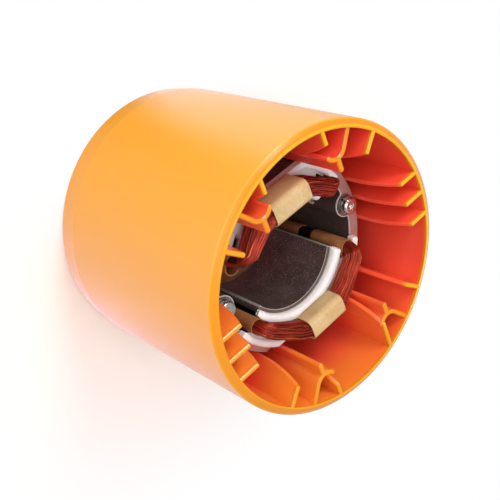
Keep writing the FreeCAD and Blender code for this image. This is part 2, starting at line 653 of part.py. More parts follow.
def stack_screw():
    """Pan-head screw with a six-lobed recess, on the +Y side."""
    top = HEAD_SEAT_Z + SCREW_HEAD_HEIGHT
    head = cylinder(SCREW_HEAD_RADIUS, HEAD_SEAT_Z, top)
    head = soften(head.Solids[0], SCREW_HEAD_ROUND, lambda e: e.BoundBox.ZMin > top - NEAR)
    shank = cylinder(SCREW_RADIUS, SCREW_TIP_Z, HEAD_SEAT_Z + OVERRUN)
    recess_low = top - SCREW_RECESS_DEPTH
    cuts = [cylinder(SCREW_RECESS_RADIUS, recess_low, top + OVERRUN)]
    for step in range(6):
        lobe_plan = disc(SCREW_LOBE_RADIUS, polar(SCREW_RECESS_RADIUS, step * 60))
        lobe = raised(lobe_plan, recess_low, top + OVERRUN)
        lobe.translate(Vector(0, SCREW_CIRCLE_RADIUS, 0))
        cuts.append(lobe)
    return one_solid(head.fuse(shank).cut(cuts))


def flat_washer():
    """Plain washer on the +Y screw lug."""
    low = STACK_FRONT_Z
    hole = SCREW_RADIUS + SCREW_HOLE_CLEARANCE
    ring = cylinder(WASHER_RADIUS, low, low + WASHER_THICKNESS)
    return one_solid(ring.cut(cylinder(hole, low - OVERRUN, low + WASHER_THICKNESS + OVERRUN)))


def lock_washer():
    """Split washer between the plain washer and the head of the +Y screw."""
    low = STACK_FRONT_Z + WASHER_THICKNESS
    high = low + LOCK_WASHER_THICKNESS
    hole = SCREW_RADIUS + SCREW_HOLE_CLEARANCE
    ring = cylinder(LOCK_WASHER_RADIUS, low, high).cut(cylinder(hole, low - OVERRUN, high + OVERRUN))
    half = LOCK_WASHER_GAP / 2
    split = raised(rectangle(0, LOCK_WASHER_RADIUS + OVERRUN, -half, half), low - OVERRUN, high + OVERRUN)
    split.rotate(ORIGIN, Z_AXIS, LOCK_WASHER_SPLIT_ANGLE)
    split.translate(Vector(0, SCREW_CIRCLE_RADIUS, 0))
    return one_solid(ring.cut(split))


def all_parts():
    """Every sub-part by name, in its place."""
    parts = {"motor_housing": motor_housing(), "lamination_stack": lamination_stack()}
    liner, insulator, tube = slot_liner(), end_insulator(), slot_tube()
    for pole, is_left in (("right", False), ("left", True)):
        crown_top = COIL_CROWN_TOPS[pole]
        parts["field_coil_" + pole] = mirrored(field_coil(crown_top), x=is_left)
        sleeve = crown_sleeve(crown_top)
        for end, middle in (("front", None), ("rear", STACK_MIDDLE_Z)):
            parts["end_insulator_%s_%s" % (end, pole)] = mirrored(insulator, x=is_left, z=middle)
            parts["crown_sleeve_%s_%s" % (end, pole)] = mirrored(sleeve, x=is_left, z=middle)
            for side, is_lower in (("upper", False), ("lower", True)):
                name = "slot_tube_%s_%s_%s" % (end, pole, side)
                parts[name] = mirrored(tube, x=is_left, y=is_lower, z=middle)
    fasteners = {"stack_screw": stack_screw(), "flat_washer": flat_washer(), "lock_washer": lock_washer()}
    for side, is_lower in (("upper", False), ("lower", True)):
        parts["slot_liner_" + side] = mirrored(liner, y=is_lower)
        for kind, fastener in fasteners.items():
            parts["%s_%s" % (kind, side)] = mirrored(fastener, y=is_lower)
    return parts


os.makedirs("parts", exist_ok=True)
for part_name, part_shape in all_parts().items():
    print(part_name, part_shape.isValid(), len(part_shape.Solids), round(part_shape.Volume / 1000, 3))
    part_shape.exportStep("parts/%s.step" % part_name)
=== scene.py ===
"""Dressed scene for the wound stator: materials, wound wire, floor, lights and camera.

Lengths are in metres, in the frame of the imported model: +Z out of the housing's mouth, magnet
poles on +X and -X, stack screws on +Y and -Y. Named angles are in degrees, from +X towards +Y.
"""
import bpy
import math
import numpy as np
from mathutils import Matrix, Vector


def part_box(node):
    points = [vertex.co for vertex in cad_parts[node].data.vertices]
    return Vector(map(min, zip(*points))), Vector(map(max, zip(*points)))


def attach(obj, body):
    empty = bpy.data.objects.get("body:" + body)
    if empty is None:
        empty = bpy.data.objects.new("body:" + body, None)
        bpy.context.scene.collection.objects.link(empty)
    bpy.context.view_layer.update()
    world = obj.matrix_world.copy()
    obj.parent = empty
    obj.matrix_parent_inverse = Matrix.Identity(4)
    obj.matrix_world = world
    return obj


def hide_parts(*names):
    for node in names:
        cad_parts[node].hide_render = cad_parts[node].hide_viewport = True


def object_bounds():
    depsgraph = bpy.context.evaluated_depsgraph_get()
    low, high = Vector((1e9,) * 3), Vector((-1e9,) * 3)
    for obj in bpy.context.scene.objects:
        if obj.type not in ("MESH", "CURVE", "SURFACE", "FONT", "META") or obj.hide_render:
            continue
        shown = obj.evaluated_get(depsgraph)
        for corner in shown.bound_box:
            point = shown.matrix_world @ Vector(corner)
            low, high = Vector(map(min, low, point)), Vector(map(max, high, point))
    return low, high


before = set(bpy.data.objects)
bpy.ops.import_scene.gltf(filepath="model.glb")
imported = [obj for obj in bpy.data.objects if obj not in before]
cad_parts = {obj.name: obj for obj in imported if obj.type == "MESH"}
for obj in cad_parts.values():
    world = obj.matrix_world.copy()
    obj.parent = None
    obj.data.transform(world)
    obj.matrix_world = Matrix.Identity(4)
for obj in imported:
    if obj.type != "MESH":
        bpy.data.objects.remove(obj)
cad_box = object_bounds()

# Camera
CAMERA_PLACE = Vector((-0.21518, -0.17117, 0.35674))
CAMERA_RIGHT = Vector((0.31864, 0.69884, 0.64039))
CAMERA_UP = Vector((-0.77693, 0.57958, -0.24590))
CAMERA_BACK = Vector((-0.54300, -0.41918, 0.72762))
CAMERA_LENS = 62.87
CAMERA_SENSOR = 36.0

# Housing, as in the solid, and the bands over which its tone changes
CAVITY_RADIUS = 0.0600
MOUTH_SHOULDER_Z = 0.1150
WALL_BAND = (0.0001, 0.0005)
RIM_BAND = (0.0, 0.0008)
# Rim face band: the rim's level face carries painted light, its sides painted shade
RIM_FACE_BAND = (-0.0006, -0.0002)
REAR_FACE_BAND = (0.0008, 0.0016)
# Mouth band and low side: painted light in the cavity near the mouth on the low side, painted shade on the
# low side of the rim
MOUTH_BAND = (0.084, 0.108)
LOW_SIDE_DIRECTION = -60
LOW_SIDE_BAND = (-0.035, 0.055)

# Places of the colour sockets on a Mix node, and where patches of a noise start and end
MIX_FIRST = 6
MIX_SECOND = 7
MIX_RESULT = 2
PATCH_EDGES = (0.3, 0.7)

# Housing tones, each from its darker to its lighter patches: one orange plastic, with painted shade in the
# cavity and on the rim's sides and low side, and painted light on the rim face and in the cavity near the
# mouth
HOUSING_TONES = {
    "outside": ((0.76, 0.335, 0.028), (0.78, 0.355, 0.034)),
    "rim_side_painted_shade": ((0.70, 0.23, 0.004), (0.72, 0.25, 0.006)),
    "rim_face_painted_light": ((0.76, 0.37, 0.006), (0.78, 0.39, 0.009)),
    "rim_low_painted_shade": ((0.74, 0.25, 0.005), (0.76, 0.27, 0.008)),
    "inside": ((0.91, 0.076, 0.042), (0.93, 0.088, 0.046)),
    "inside_warm": ((0.90, 0.235, 0.028), (0.92, 0.255, 0.032)),
}

# Path of the solid coils, and the number of frames along each part of it
COIL_SIDE_RADIUS = 0.0342
COIL_SIDE_ANGLE = 59.3
COIL_SIDE_HALF = (0.0031, 0.0039)
COIL_CROWN_HALF_DEPTH = 0.0047
COIL_CROWN_X = 0.0323
COIL_CORNER_Y = 0.0126
COIL_STRAIGHT_END = 0.0086
COIL_BEND_RISE = 0.0003
COIL_BEND_SWELL = 0.45
COIL_SWELL_RATE = 1.4
COIL_HEIGHT_POWER = 1.5
PAPER_OUTSIDE = 0.0005
SIDE_STATIONS = 8
BEND_STATIONS = 10
CORNER_STATIONS = 15
CROWN_STATIONS = 6

# Wires on that path: their section, and how far each one wanders round the bundle and into it
WIRE_RADIUS = 0.00026
WIRES_AROUND = 86
WIRE_SIDES = 5
WIRE_SETBACK = 0.00008
WIRE_DRIFT = 0.035
DRIFT_WAVES = (1, 3, 5, 8, 13)
WIRE_DIP = 0.00007
DIP_WAVES = (2, 5, 9, 15)
LATEST_PHASE = 6.3
CORE_SIDES = 24
CORE_INSET = 0.00085
SQUARENESS = 2.8

# Tone of the wires: place in the range of wires and colour, and the painted shade on the stretch between the
# slot tubes
# The palest stop lightens a few wires as a painted highlight in place of glints; the other tones differ at
# random
WIRE_TONES = ((0.0, (0.19, 0.011, 0.007)), (0.45, (0.46, 0.034, 0.014)), (0.92, (0.68, 0.080, 0.027)),
              (1.0, (0.92, 0.32, 0.12)))
WIRE_PAINTED_SHADE = (0.02, 0.012, 0.012)
SHADE_EDGE = 0.0003

# Poles: side of the motor on which each one stands
POLES = {"right": 1, "left": -1}

# Pole shoes, the lip of each white moulding, its floor wings and the liner edges at the pole tips
BORE_RADIUS = 0.0254
POLE_HALF_ARC = 61.0
LIP_HALF_ARC = 60.3
LIP_INNER_RADIUS = 0.02696
LIP_ROUND_RADIUS = 0.0300
LIP_OUTER_RADIUS = 0.03056
LIP_FOOT = 0.0001
LIP_ROUND_FOOT = 0.0012
LIP_HEIGHT = 0.0044
LIP_BEVEL = 0.0003
LIP_ROUND_STEPS = 5
WING_HEIGHT = 0.0014
WING_OUTER_RADIUS = 0.0397
WING_INNER_RADIUS = {"wide": 0.0330, "narrow": 0.0379}
WING_ARC = {"wide": (28.5, 51.0), "narrow": (47.0, LIP_HALF_ARC)}
WHITE_BAND_STEP = 1.0
WHITE_BAND_END_ARC = 2.0
WHITE_BAND_END_WIDTH = 0.6
WHITE_BAND_END_RISE = 0.3
STRIP_THICKNESS = 0.0003
STRIP_DEPTH = 0.0010
STRIP_PROUD = 0.0002

# Tone of the stack and the liners: a painted highlight along the bore, yoke beyond the lip, level faces, cut
# edges
BORE_PAINTED_HIGHLIGHT_BAND = (0.00015, 0.0004)
YOKE_BAND = (0.0, 0.001)
LEVEL_FACE_BAND = (0.6, 0.9)
LINER_EDGE_BAND = (0.0, 0.0002)

# Darkest and lightest fibres of a paper, as shares of its own tones
FIBRE_SHADE = (0.6, 1.2)

# Floor: how much of it the camera sees as plain white, and the colour by angle that reflections see
FLOOR_HALF_SIZE = 6.0
FLOOR_DROP = 0.0002
FLOOR_GLOW_SHARE = 0.05
FLOOR_GLOW_BAND = (0.08, 0.18)
FLOOR_BRIGHT_SIDE = 178
FLOOR_BRIGHT_BAND = (0.0, 0.05)
FLOOR_GLOSS = 1.6
FLOOR_GLOSS_COLOURS = {
    20: (0.35, 0.35, 0.35),
    100: (0.45, 0.45, 0.47),
    138: (0.66, 0.70, 0.78),
    158: (0.64, 0.72, 0.90),
    176: (0.10, 0.10, 0.10),
    188: (0.04, 0.04, 0.04),
    218: (0.38, 0.34, 0.38),
    250: (0.80, 0.66, 0.88),
    285: (1.00, 0.80, 1.08),
    325: (0.70, 0.54, 0.68),
}

# Surroundings: level for all other rays, and level that reflections see
WORLD_LEVEL = 0.70
WORLD_GLOSS = 0.38

# Lamps: the point that they face, and their places counted from it
LAMP_TARGET = Vector((0, 0, 0.06))
LAMPS = {
    "key": dict(direction=(-0.79, 0.34, 0.64), distance=0.9, width=0.3, power=3.4),
    "mouth_fill": dict(direction=(0.05, -0.05, 1.0), distance=1.0, width=0.35, power=2.2),
    "front_fill": dict(direction=(-0.6, -0.5, 0.6), distance=1.0, width=0.8, power=3.8),
}


def principled(name, colour, roughness, metallic=0.0):
    """Material with its shader and node tree at hand."""
    material = bpy.data.materials.new(name)
    material.use_nodes = True
    tree = material.node_tree
    shader = tree.nodes["Principled BSDF"]
    shader.inputs["Base Color"].default_value = (*colour, 1)
    shader.inputs["Roughness"].default_value = roughness
    shader.inputs["Metallic"].default_value = metallic
    return material, tree, shader


def fill(tree, socket, value):
    """Give a socket its value: a link from another socket, a colour or a number."""
    if isinstance(value, bpy.types.NodeSocket):
        tree.links.new(value, socket)
    elif isinstance(value, tuple):
        socket.default_value = (*value, 1)
    else:
        socket.default_value = value


def add_node(tree, kind, **inputs):
    """Node of a kind, with some of its inputs set by name."""
    node = tree.nodes.new(kind)
    for name, value in inputs.items():
        node.inputs[name.replace("_", " ")].default_value = value
    return node


def calculate(tree, operation, *values):
    """Result of a math operation on sockets and numbers."""
    node = tree.nodes.new("ShaderNodeMath")
    node.operation = operation
    for socket, value in zip(node.inputs, values):
        fill(tree, socket, value)
    return node.outputs[0]


def object_coordinates(tree, scale=(1, 1, 1)):
    """Object coordinates, stretched by a scale."""
    source = tree.nodes.new("ShaderNodeTexCoord")
    mapping = add_node(tree, "ShaderNodeMapping", Scale=scale)
    tree.links.new(source.outputs["Object"], mapping.inputs["Vector"])
    return mapping.outputs["Vector"]


def noise(tree, vector, scale, detail=4.0, roughness=0.55):
    """Noise factor at a scale."""
    node = add_node(tree, "ShaderNodeTexNoise", Scale=scale, Detail=detail, Roughness=roughness)
    tree.links.new(vector, node.inputs["Vector"])
    return node.outputs["Fac"]


def ramp(tree, factor, *stops):
    """Colour ramp through (place, colour) stops."""
    node = tree.nodes.new("ShaderNodeValToRGB")
    elements = node.color_ramp.elements
    while len(elements) < len(stops):
        elements.new(0.5)
    for element, (place, colour) in zip(elements, stops):
        element.position = place
        element.color = (*colour, 1)
    tree.links.new(factor, node.inputs["Fac"])
    return node.outputs["Color"]


def patches(tree, factor, dark, light):
    """Two close colours, in the soft patches of a noise."""
    return ramp(tree, factor, *zip(PATCH_EDGES, (dark, light)))


def mix(tree, factor, first, second, kind="MIX"):
    """Mix of two colours by a socket or a number."""
    node = tree.nodes.new("ShaderNodeMix")
    node.data_type = "RGBA"
    node.blend_type = kind
    fill(tree, node.inputs["Factor"], factor)
    fill(tree, node.inputs[MIX_FIRST], first)
    fill(tree, node.inputs[MIX_SECOND], second)
    return node.outputs[MIX_RESULT]


def mix_shaders(tree, factor, first, second):
    """Mix of two shaders."""
    node = tree.nodes.new("ShaderNodeMixShader")
    for socket, value in zip(node.inputs, (factor, first, second)):
        tree.links.new(value, socket)
    return node.outputs["Shader"]


def bump(tree, shader, height, strength, distance=0.0001):
    """Bump from a height, joined to the shader, after any bump already there."""
    node = add_node(tree, "ShaderNodeBump", Strength=strength, Distance=distance)
    tree.links.new(height, node.inputs["Height"])
    normal = shader.inputs["Normal"]
    if normal.is_linked:
        tree.links.new(normal.links[0].from_socket, node.inputs["Normal"])
    tree.links.new(node.outputs["Normal"], normal)


def spread(tree, factor, low, high):
    """Factor carried over to a range from low to high."""
    node = add_node(tree, "ShaderNodeMapRange", To_Min=low, To_Max=high)
    tree.links.new(factor, node.inputs["Value"])
    return node.outputs["Result"]


def paint(tree, shader, colour):
    """Give a shader its base colour."""
    tree.links.new(colour, shader.inputs["Base Color"])


def roughen(tree, shader, factor, low, high):
    """Vary a shader's roughness from low to high with a factor."""
    tree.links.new(spread(tree, factor, low, high), shader.inputs["Roughness"])


def scatter(shader, weight, scale):
    """Let a share of the light into the surface, to about a depth."""
    shader.inputs["Subsurface Weight"].default_value = weight
    shader.inputs["Subsurface Scale"].default_value = scale


def step_over(tree, value, band, base=0.0):
    """0 below a band and 1 above it, with a smooth change between; the band is counted from a base."""
    node = add_node(tree, "ShaderNodeMapRange", From_Min=base + band[0], From_Max=base + band[1])
    node.interpolation_type = "SMOOTHSTEP"
    tree.links.new(value, node.inputs["Value"])
    return node.outputs["Result"]


def radius_and_height(tree):
    """Distance from the motor axis, and height above the rear face."""
    source = tree.nodes.new("ShaderNodeTexCoord")
    split = tree.nodes.new("ShaderNodeSeparateXYZ")
    tree.links.new(source.outputs["Object"], split.inputs[0])
    flat = tree.nodes.new("ShaderNodeCombineXYZ")
    tree.links.new(split.outputs["X"], flat.inputs["X"])
    tree.links.new(split.outputs["Y"], flat.inputs["Y"])
    length = tree.nodes.new("ShaderNodeVectorMath")
    length.operation = "LENGTH"
    tree.links.new(flat.outputs[0], length.inputs[0])
    return length.outputs["Value"], split.outputs["Z"]


def along_direction(tree, degrees):
    """Distance from the motor axis along one level direction."""
    source = tree.nodes.new("ShaderNodeTexCoord")
    dot = tree.nodes.new("ShaderNodeVectorMath")
    dot.operation = "DOT_PRODUCT"
    dot.inputs[1].default_value = (math.cos(math.radians(degrees)), math.sin(math.radians(degrees)), 0)
    tree.links.new(source.outputs["Object"], dot.inputs[0])
    return dot.outputs["Value"]


def on_level_face(tree):
    """1 on faces that look along the motor axis and 0 on upright ones."""
    source = tree.nodes.new("ShaderNodeNewGeometry")
    split = tree.nodes.new("ShaderNodeSeparateXYZ")
    tree.links.new(source.outputs["True Normal"], split.inputs[0])
    return step_over(tree, calculate(tree, "ABSOLUTE", split.outputs["Z"]), LEVEL_FACE_BAND)


def housing_tone(tree):
    """Orange outside; the cavity in painted shade, with painted light near the mouth on the low side; the rim
    with painted light on its level face and painted shade on its sides and low side.
    """
    flow = noise(tree, object_coordinates(tree, (1, 1, 0.25)), scale=22.0, detail=3.0)
    tones = {place: patches(tree, flow, *pair) for place, pair in HOUSING_TONES.items()}
    radius, height = radius_and_height(tree)
    # The cavity tone is painted shade, with painted light near the mouth on the low side
    painted_low_side = step_over(tree, along_direction(tree, LOW_SIDE_DIRECTION), LOW_SIDE_BAND)
    cavity_light_near_mouth = mix(tree, step_over(tree, height, MOUTH_BAND), tones["inside"], tones["inside_warm"])
    inner = mix(tree, painted_low_side, tones["inside"], cavity_light_near_mouth)
    on_outside = step_over(tree, radius, WALL_BAND, CAVITY_RADIUS)
    above_rear = step_over(tree, height, REAR_FACE_BAND)
    body = mix(tree, above_rear, tones["outside"], mix(tree, on_outside, inner, tones["outside"]))
    # The rim's level face is painted light, its sides and its low side painted shade
    on_face = step_over(tree, height, RIM_FACE_BAND, cad_box[1].z)
    rim_painted_light_and_shade = mix(tree, on_face, tones["rim_side_painted_shade"], tones["rim_face_painted_light"])
    rim = mix(tree, painted_low_side, rim_painted_light_and_shade, tones["rim_low_painted_shade"])
    return mix(tree, step_over(tree, height, RIM_BAND, MOUTH_SHOULDER_Z), body, rim)


def housing_plastic():
    """Glossy orange moulding with fine orange peel, and light through thin walls."""
    material, tree, shader = principled("housing_plastic", (0.88, 0.34, 0.03), roughness=0.3)
    here = object_coordinates(tree)
    paint(tree, shader, housing_tone(tree))
    roughen(tree, shader, noise(tree, here, scale=60.0), low=0.21, high=0.28)
    bump(tree, shader, noise(tree, here, scale=900.0, detail=2.0), strength=0.06, distance=0.0002)
    scatter(shader, weight=0.12, scale=0.002)
    shader.inputs["Subsurface Radius"].default_value = (1.0, 0.35, 0.05)
    return material


def lamination_steel():
    """Varnished sheet steel: a line for each sheet, speckled by the varnish, with paler level faces and a
    painted highlight along the bore edge.
    """
    material, tree, shader = principled("lamination_steel", (0.10, 0.075, 0.07), roughness=0.45, metallic=0.6)
    here = object_coordinates(tree)
    sheets = add_node(tree, "ShaderNodeTexWave", Scale=320.0, Distortion=0.6)
    sheets.wave_type = "BANDS"
    sheets.bands_direction = "Z"
    tree.links.new(here, sheets.inputs["Vector"])
    speckle = noise(tree, here, scale=1500.0, detail=3.0, roughness=0.7)
    blotch = noise(tree, here, scale=90.0)
    edge_tone = patches(tree, blotch, (0.12, 0.08, 0.07), (0.22, 0.16, 0.145))
    lines = mix(tree, spread(tree, sheets.outputs["Fac"], low=0.0, high=0.45), edge_tone, (0.03, 0.02, 0.018))
    dots = ramp(tree, speckle, (0.55, (0.0, 0.0, 0.0)), (0.66, (0.62, 0.56, 0.52)))
    edges = mix(tree, 0.5, lines, dots, "ADD")
    yoke_tone = patches(tree, blotch, (0.42, 0.27, 0.25), (0.54, 0.37, 0.34))
    shoe_tone = patches(tree, blotch, (0.16, 0.12, 0.10), (0.24, 0.19, 0.16))
    radius = radius_and_height(tree)[0]
    # A pale line along the bore edge of the level faces is a painted highlight
    past_painted_highlight = step_over(tree, radius, BORE_PAINTED_HIGHLIGHT_BAND, BORE_RADIUS)
    past_lip = step_over(tree, radius, YOKE_BAND, LIP_INNER_RADIUS)
    level_tone = mix(tree, past_lip, mix(tree, past_painted_highlight, (0.62, 0.58, 0.54), shoe_tone), yoke_tone)
    paint(tree, shader, mix(tree, on_level_face(tree), edges, level_tone))
    roughen(tree, shader, speckle, low=0.3, high=0.6)
    bump(tree, shader, sheets.outputs["Fac"], strength=0.2)
    bump(tree, shader, speckle, strength=0.2)
    return material


def enamelled_copper():
    """Enamelled copper wire: brown-red metal under a thin coat, with a tone for each wire, the palest ones a
    painted highlight, and painted shade along the stretch between the slot tubes.
    """
    material, tree, shader = principled("enamelled_copper", (0.42, 0.09, 0.05), roughness=0.3, metallic=0.7)
    here = object_coordinates(tree)
    each = tree.nodes.new("ShaderNodeNewGeometry").outputs["Random Per Island"]
    along = noise(tree, here, scale=160.0, detail=3.0)
    stretches = ramp(tree, along, (0.3, (0.55, 0.52, 0.5)), (0.75, (1.0, 1.0, 1.0)))
    tone = mix(tree, 1.0, ramp(tree, each, *WIRE_TONES), stretches, "MULTIPLY")
    height = radius_and_height(tree)[1]
    above_rear = step_over(tree, height, (-SHADE_EDGE, 0.0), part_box("slot_tube_rear_right_upper")[1].z)
    above_front = step_over(tree, height, (0.0, SHADE_EDGE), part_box("slot_tube_front_right_upper")[0].z)
    # Wires between the slot tubes get painted shade
    between = mix(tree, above_rear, tone, WIRE_PAINTED_SHADE)
    paint(tree, shader, mix(tree, above_front, between, tone))
    roughen(tree, shader, noise(tree, here, scale=500.0), low=0.22, high=0.42)
    shader.inputs["Coat Weight"].default_value = 0.1
    shader.inputs["Coat Roughness"].default_value = 0.15
    bump(tree, shader, noise(tree, here, scale=1200.0), strength=0.15)
    return material


def coil_shade():
    """Painted shade between the outer wires, on a dark varnish tone."""
    material, tree, shader = principled("coil_shade", (0.05, 0.012, 0.008), roughness=0.6)
    cloud = noise(tree, object_coordinates(tree), scale=300.0)
    paint(tree, shader, patches(tree, cloud, (0.035, 0.008, 0.005), (0.07, 0.018, 0.011)))
    bump(tree, shader, cloud, strength=0.2)
    return material


def paper(name, dark, light, fibre_share):
    """Electrical paper: fibres, faint mottling and a matt face."""
    material, tree, shader = principled(name, light, roughness=0.7)
    here = object_coordinates(tree)
    fibres = noise(tree, object_coordinates(tree, (1, 1, 0.2)), scale=700.0, roughness=0.7)
    base = patches(tree, noise(tree, here, scale=120.0, detail=3.0), dark, light)
    darker = tuple(value * FIBRE_SHADE[0] for value in dark)
    lighter = tuple(min(value * FIBRE_SHADE[1], 1) for value in light)
    strands = ramp(tree, fibres, (0.4, darker), (0.65, lighter))
    paint(tree, shader, mix(tree, fibre_share, base, strands))
    bump(tree, shader, fibres, strength=0.25)
    scatter(shader, weight=0.1, scale=0.0008)
    return material


def slot_liner_film():
    """Dark film in the slots, with a pale cut edge where it stands out of the stack."""
    material, tree, shader = principled("slot_liner_film", (0.06, 0.045, 0.04), roughness=0.4)
    fibres = noise(tree, object_coordinates(tree), scale=500.0)
    wall = patches(tree, fibres, (0.05, 0.036, 0.032), (0.085, 0.062, 0.055))
    edge = patches(tree, fibres, (0.50, 0.46, 0.44), (0.62, 0.58, 0.55))
    stack_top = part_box("lamination_stack")[1].z
    above_stack = step_over(tree, radius_and_height(tree)[1], LINER_EDGE_BAND, stack_top)
    paint(tree, shader, mix(tree, above_stack, wall, edge))
    bump(tree, shader, fibres, strength=0.15)
    return material


def white_insulator():
    """Satin white moulding."""
    material, tree, shader = principled("white_insulator", (0.86, 0.83, 0.81), roughness=0.4)
    here = object_coordinates(tree)
    paint(tree, shader, patches(tree, noise(tree, here, scale=130.0), (0.83, 0.79, 0.77), (0.89, 0.86, 0.84)))
    bump(tree, shader, noise(tree, here, scale=1100.0), strength=0.12)
    scatter(shader, weight=0.08, scale=0.001)
    return material


def plated_steel(name, dark, light, low, high):
    """Zinc plate with small cloudy patches, its roughness from low to high."""
    material, tree, shader = principled(name, light, roughness=low, metallic=1.0)
    cloud = noise(tree, object_coordinates(tree), scale=700.0)
    paint(tree, shader, patches(tree, cloud, dark, light))
    roughen(tree, shader, cloud, low, high)
    bump(tree, shader, cloud, strength=0.15)
    return material


WASHER_STEEL = plated_steel("washer_steel", (0.24, 0.22, 0.21), (0.42, 0.39, 0.37), low=0.3, high=0.5)
LINER_EDGE = paper("liner_edge", (0.34, 0.30, 0.27), (0.50, 0.46, 0.42), fibre_share=0.2)
MATERIALS = {
    "motor_housing": housing_plastic(),
    "lamination_stack": lamination_steel(),
    "field_coil": enamelled_copper(),
    "coil_shade": coil_shade(),
    "end_insulator": white_insulator(),
    "crown_sleeve": paper("sleeve_paper", (0.53, 0.35, 0.15), (0.64, 0.46, 0.23), fibre_share=0.15),
    "slot_tube": paper("tube_paper", (0.28, 0.095, 0.028), (0.44, 0.18, 0.06), fibre_share=0.2),
    "slot_liner": slot_liner_film(),
    "stack_screw": plated_steel("plated_steel", (0.56, 0.57, 0.55), (0.82, 0.83, 0.80), low=0.14, high=0.34),
    "flat_washer": WASHER_STEEL,
    "lock_washer": WASHER_STEEL,
}


def dress_nodes():
    """Give each solid the material that the start of its name stands for."""
    for node_name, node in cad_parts.items():
        start = next(start for start in MATERIALS if node_name.startswith(start))
        node.data.materials.clear()
        node.data.materials.append(MATERIALS[start])


def add_mesh(name, points, faces, material, smooth=True):
    """Mesh object that rides on the part."""
    mesh = bpy.data.meshes.new(name)
    mesh.from_pydata([tuple(p) for p in points], [], faces)
    mesh.update()
    mesh.polygons.foreach_set("use_smooth", [smooth] * len(mesh.polygons))
    mesh.materials.append(material)
    piece = bpy.data.objects.new(name, mesh)
    bpy.context.scene.collection.objects.link(piece)
    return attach(piece, "root")


def blend(start, end, share):
    """Value between two others."""
    return start + (end - start) * share


def superellipse(angle):
    """Point of a squarish unit ring, at an angle in radians."""
    c, s = math.cos(angle), math.sin(angle)
    scale = (abs(c) ** SQUARENESS + abs(s) ** SQUARENESS) ** (-1 / SQUARENESS)
    return c * scale, s * scale


def tube_faces(rings, sides, start=0):
    """Faces of a tube of rings whose last ring joins the first."""
    faces = []
    for ring in range(rings):
        after = (ring + 1) % rings
        for side in range(sides):
            next_side = (side + 1) % sides
            faces.append((start + ring * sides + side, start + ring * sides + next_side,
                          start + after * sides + next_side, start + after * sides + side))
    return faces


def coil_stations(crown_low, crown_high, middle_z, mouth_z):
    """Frames along the front upper quarter of the +X coil: centre, outward, upward, half sizes."""
    half_crown = (crown_high - crown_low) / 2
    crown_z = crown_low + half_crown
    bend = crown_z - mouth_z
    side_angle = math.radians(COIL_SIDE_ANGLE)
    foot = COIL_SIDE_RADIUS * np.array([math.cos(side_angle), math.sin(side_angle), 0])
    corner = np.array([COIL_CROWN_X, COIL_CORNER_Y, 0])
    straight = np.array([COIL_CROWN_X, COIL_STRAIGHT_END, 0])
    travel = (corner - foot) / np.linalg.norm(corner - foot)
    slant_out = math.atan2(travel[0], -travel[1])
    upright = np.array([0, 0, 1.0])

    def frame_at(place, angle, tilt, share):
        out = np.array([math.cos(angle), math.sin(angle), 0])
        onward = np.array([out[1], -out[0], 0])
        up = upright * math.sin(tilt) - onward * math.cos(tilt)
        half_out = blend(COIL_SIDE_HALF[0], COIL_CROWN_HALF_DEPTH, share)
        half_up = blend(COIL_SIDE_HALF[1], half_crown, share ** COIL_HEIGHT_POWER)
        return place, out, up, half_out, half_up

    side_heights = np.linspace(middle_z, mouth_z, SIDE_STATIONS)[:-1]
    stations = [frame_at(foot + upright * z, side_angle, 0, 0) for z in side_heights]
    for done in np.linspace(0, 1, BEND_STATIONS):
        tilt = math.pi / 2 * done
        place = foot + travel * bend * (1 - math.cos(tilt)) + upright * (mouth_z + bend * math.sin(tilt))
        stations.append(frame_at(place, blend(side_angle, slant_out, done), tilt, COIL_BEND_SWELL * done))
    bend_end = foot + travel * bend
    for done in np.linspace(0, 1, CORNER_STATIONS)[1:]:
        place = bend_end * (1 - done) ** 2 + corner * 2 * done * (1 - done) + straight * done ** 2
        onward = (corner - bend_end) * (1 - done) + (straight - corner) * done
        angle = math.atan2(onward[0], -onward[1])
        share = blend(COIL_BEND_SWELL, 1, min(done * COIL_SWELL_RATE, 1))
        stations.append(frame_at(place + upright * crown_z, angle, math.pi / 2, share))
    for y in np.linspace(COIL_STRAIGHT_END, 0, CROWN_STATIONS)[1:]:
        stations.append(frame_at(np.array([COIL_CROWN_X, y, crown_z]), 0, math.pi / 2, 1))
    return stations


def mirror_stations(stations, axis, about=0.0):
    """The same frames mirrored across a plane, in the opposite order."""
    flip = np.ones(3)
    flip[axis] = -1
    shift = np.zeros(3)
    shift[axis] = 2 * about
    return [(c * flip + shift, o * flip, u * flip, a, b) for c, o, u, a, b in reversed(stations)]


def coil_loop(node_name, sleeve_name, tube_name):
    """Frames all the way round a coil."""
    low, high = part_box(node_name)
    crown_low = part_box(sleeve_name)[0].z + PAPER_OUTSIDE
    mouth_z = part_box(tube_name)[1].z + COIL_BEND_RISE
    quarter = coil_stations(crown_low, high.z, (low.z + high.z) / 2, mouth_z)
    front = quarter[:-1] + mirror_stations(quarter, 1)
    loop = front[:-1] + mirror_stations(front, 2, (low.z + high.z) / 2)[:-1]
    if low.x < 0:
        loop = [(c * (-1, 1, 1), o * (-1, 1, 1), u, a, b) for c, o, u, a, b in loop]
    return loop


def swept(loop, ring_of):
    """Points of rings along a closed loop; ring_of gives a ring's offsets at a station."""
    points = []
    for index, (centre, out, up, half_out, half_up) in enumerate(loop):
        for a, b in ring_of(index, half_out, half_up):
            points.append(centre + out * a + up * b)
    return points


def wander(random, along, size, waves):
    """Slow random waves along a loop, of about a size."""
    return sum(random.normal(0, size) * np.sin(k * along + random.uniform(0, LATEST_PHASE)) for k in waves)


